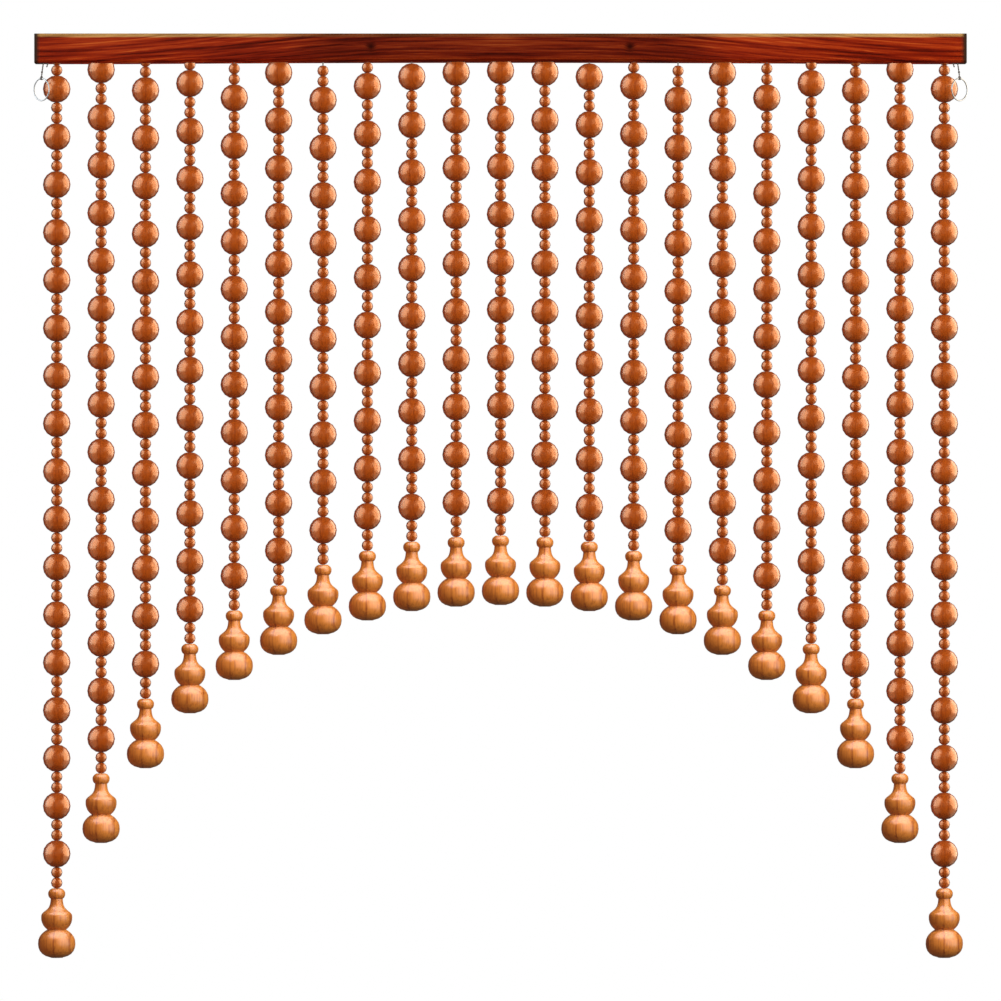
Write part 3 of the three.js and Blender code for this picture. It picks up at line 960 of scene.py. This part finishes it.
class BEADCURTAIN_OT_stage(bpy.types.Operator):
    """Set the floor, the soft boxes, the pale room and the camera"""

    bl_idname = "bead_curtain.stage"
    bl_label = "Studio"

    def execute(self, context):
        settings = context.scene.bead_curtain_stage
        scene = context.scene
        scene.view_settings.view_transform = "Standard"
        middle = self.set_camera(scene)
        self.lay_floor(settings)
        self.paint_room(scene, settings)
        below = bpy.data.collections.new("pendants_and_floor")
        others = bpy.data.collections.new("all_but_pendants")
        for piece in scene.objects:
            if piece.name.startswith(("gourd_", "floor")):
                below.objects.link(piece)
            if piece.type == "MESH" and not piece.name.startswith("gourd_"):
                others.objects.link(piece)
        # Name, turn and lift in degrees, width and height in metres, power and what the box lights
        mirrored = [
            ("right_box", 102, 16, 8.1, 6.0, settings.right_box, others),
            ("left_box", -77, 27, 6.8, 6.5, settings.left_box, others),
            ("low_right", 100, -30, 6.5, 4.5, settings.low_boxes, others),
            ("low_left", -80, -30, 6.5, 4.5, settings.low_boxes, others),
            ("top_box", 20, 76, 10.0, 6.0, settings.top_box, below),
            ("side_box", 46, 12, 8.0, 5.4, settings.side_box, below),
        ]
        matt = [
            ("key_light", 42, 28, 3.0, 3.0, settings.key_light, None),
            ("left_fill", -48, 0, 3.0, 3.0, settings.left_fill, None),
            ("front_fill", -5, 10, 3.0, 3.0, settings.front_fill, others),
            ("back_fill", 170, 20, 3.0, 3.0, settings.back_fill, None),
            ("top_light", 30, 58, 2.8, 2.8, settings.top_light, below),
            ("side_light", 72, -8, 2.8, 2.8, settings.side_light, below),
        ]
        # A mirrored box lights gloss alone, and a matt one all but gloss
        for box in mirrored:
            self.hang_box(scene, middle, *box).visible_diffuse = False
        for box in matt:
            self.hang_box(scene, middle, *box).visible_glossy = False
        for name, tint in BOX_TINTS.items():
            bpy.data.lights[name].color = srgb(tint)[:3]
        return {"FINISHED"}

    def hang_box(self, scene, middle, name, turn, lift, width, height, power, lit):
        """A soft box that looks at the middle of the object, turned to the right and lifted.

        It lights everything, or only the pieces in the collection lit.
        """
        light = bpy.data.lights.new(name, "AREA")
        light.shape = "RECTANGLE"
        light.size = width
        light.size_y = height
        light.energy = power
        lamp = bpy.data.objects.new(name, light)
        scene.collection.objects.link(lamp)
        turned = Matrix.Rotation(math.radians(turn), 3, "Z")
        lifted = Matrix.Rotation(-math.radians(lift), 3, "X")
        aim = turned @ lifted @ Vector((0, -1, 0))
        lamp.location = middle + BOX_DISTANCE * aim
        lamp.rotation_euler = (-aim).to_track_quat("-Z", "Y").to_euler()
        lamp.visible_camera = False
        lamp.light_linking.receiver_collection = lit
        return lamp

    def set_camera(self, scene):
        """A long lens, level and square on, with the rail where the photograph has it."""
        scale = (RAIL_HIGH.x - RAIL_LOW.x) / RAIL_PIXELS
        middle = Vector((0, 0, RAIL_HIGH.z - (PHOTO_PIXELS / 2 - RAIL_TOP_PIXEL) * scale))
        data = bpy.data.cameras.new("camera")
        data.sensor_width = SENSOR_WIDTH
        data.lens = SENSOR_WIDTH * CAMERA_DISTANCE / (PHOTO_PIXELS * scale)
        data.clip_end = 4 * CAMERA_DISTANCE
        camera = bpy.data.objects.new("camera", data)
        scene.collection.objects.link(camera)
        camera.location = middle - Vector((0, CAMERA_DISTANCE, 0))
        camera.rotation_euler = (math.radians(90), 0, 0)
        scene.camera = camera
        return middle

    def lay_floor(self, settings):
        """A pale floor far below, which neither lights the object nor shows in its gloss."""
        bpy.ops.object.select_all(action="DESELECT")
        bpy.ops.mesh.primitive_circle_add(
            vertices=96, radius=FLOOR_RADIUS, fill_type="NGON",
            location=(0, 0, RAIL_HIGH.z - settings.floor_drop))
        floor = start_piece("floor")
        bpy.ops.object.transform_apply(location=True, rotation=True, scale=True)
        floor.visible_glossy = False
        floor.visible_diffuse = False
        floor.visible_shadow = False
        floor.data.materials.append(painted_floor())

    def paint_room(self, scene, settings):
        """White behind the object for the camera, and a dimmer grey for what lights it."""
        world = bpy.data.worlds.new("room")
        world.use_nodes = True
        tree = world.node_tree
        tree.nodes.clear()
        path = add_node(tree, "ShaderNodeLightPath")
        dim = add_node(tree, "ShaderNodeBackground", {
            "Color": srgb("#F4F1EC"), "Strength": settings.room})
        bright = add_node(tree, "ShaderNodeBackground", {"Color": srgb("#FFFFFF"), "Strength": 1.0})
        mix = add_node(tree, "ShaderNodeMixShader", {}, {
            0: path.outputs["Is Camera Ray"], 1: dim.outputs[0], 2: bright.outputs[0]})
        add_node(tree, "ShaderNodeOutputWorld", {}, {"Surface": mix.outputs[0]})
        scene.world = world


class BEADCURTAIN_PT_panel(bpy.types.Panel):
    """Lists the steps that make the curtain"""

    bl_idname = "BEADCURTAIN_PT_panel"
    bl_label = "Bead Curtain"
    bl_space_type = "VIEW_3D"
    bl_region_type = "UI"
    bl_category = "Bead Curtain"

    def draw(self, context):
        for settings, operators in STEPS:
            box = self.layout.box()
            group = getattr(context.scene, settings)
            for name in group.bl_rna.properties.keys():
                if name not in ("rna_type", "name"):
                    box.prop(group, name)
            for operator in operators:
                box.operator(operator.bl_idname)


GROUPS = {
    "bead_curtain_rail": RailSettings,
    "bead_curtain_beads": BeadSettings,
    "bead_curtain_pendants": PendantSettings,
    "bead_curtain_fittings": FittingSettings,
    "bead_curtain_stage": StageSettings,
}
STEPS = [
    ("bead_curtain_rail", [BEADCURTAIN_OT_rail]),
    ("bead_curtain_beads", [BEADCURTAIN_OT_strands]),
    ("bead_curtain_pendants", [BEADCURTAIN_OT_pendants]),
    ("bead_curtain_fittings", [BEADCURTAIN_OT_cords, BEADCURTAIN_OT_rings]),
    ("bead_curtain_stage", [BEADCURTAIN_OT_stage]),
]
OPERATORS = [operator for _, operators in STEPS for operator in operators]


def register():
    for group in GROUPS.values():
        bpy.utils.register_class(group)
    for operator in OPERATORS:
        bpy.utils.register_class(operator)
    bpy.utils.register_class(BEADCURTAIN_PT_panel)
    for name, group in GROUPS.items():
        setattr(bpy.types.Scene, name, PointerProperty(type=group))


def unregister():
    for name in GROUPS:
        delattr(bpy.types.Scene, name)
    bpy.utils.unregister_class(BEADCURTAIN_PT_panel)
    for operator in reversed(OPERATORS):
        bpy.utils.unregister_class(operator)
    for group in reversed(list(GROUPS.values())):
        bpy.utils.unregister_class(group)


def main():
    register()
    bpy.ops.bead_curtain.rail()
    bpy.ops.bead_curtain.strands()
    bpy.ops.bead_curtain.pendants()
    bpy.ops.bead_curtain.cords()
    bpy.ops.bead_curtain.rings()
    bpy.ops.bead_curtain.stage()


if __name__ == "__main__":
    main()
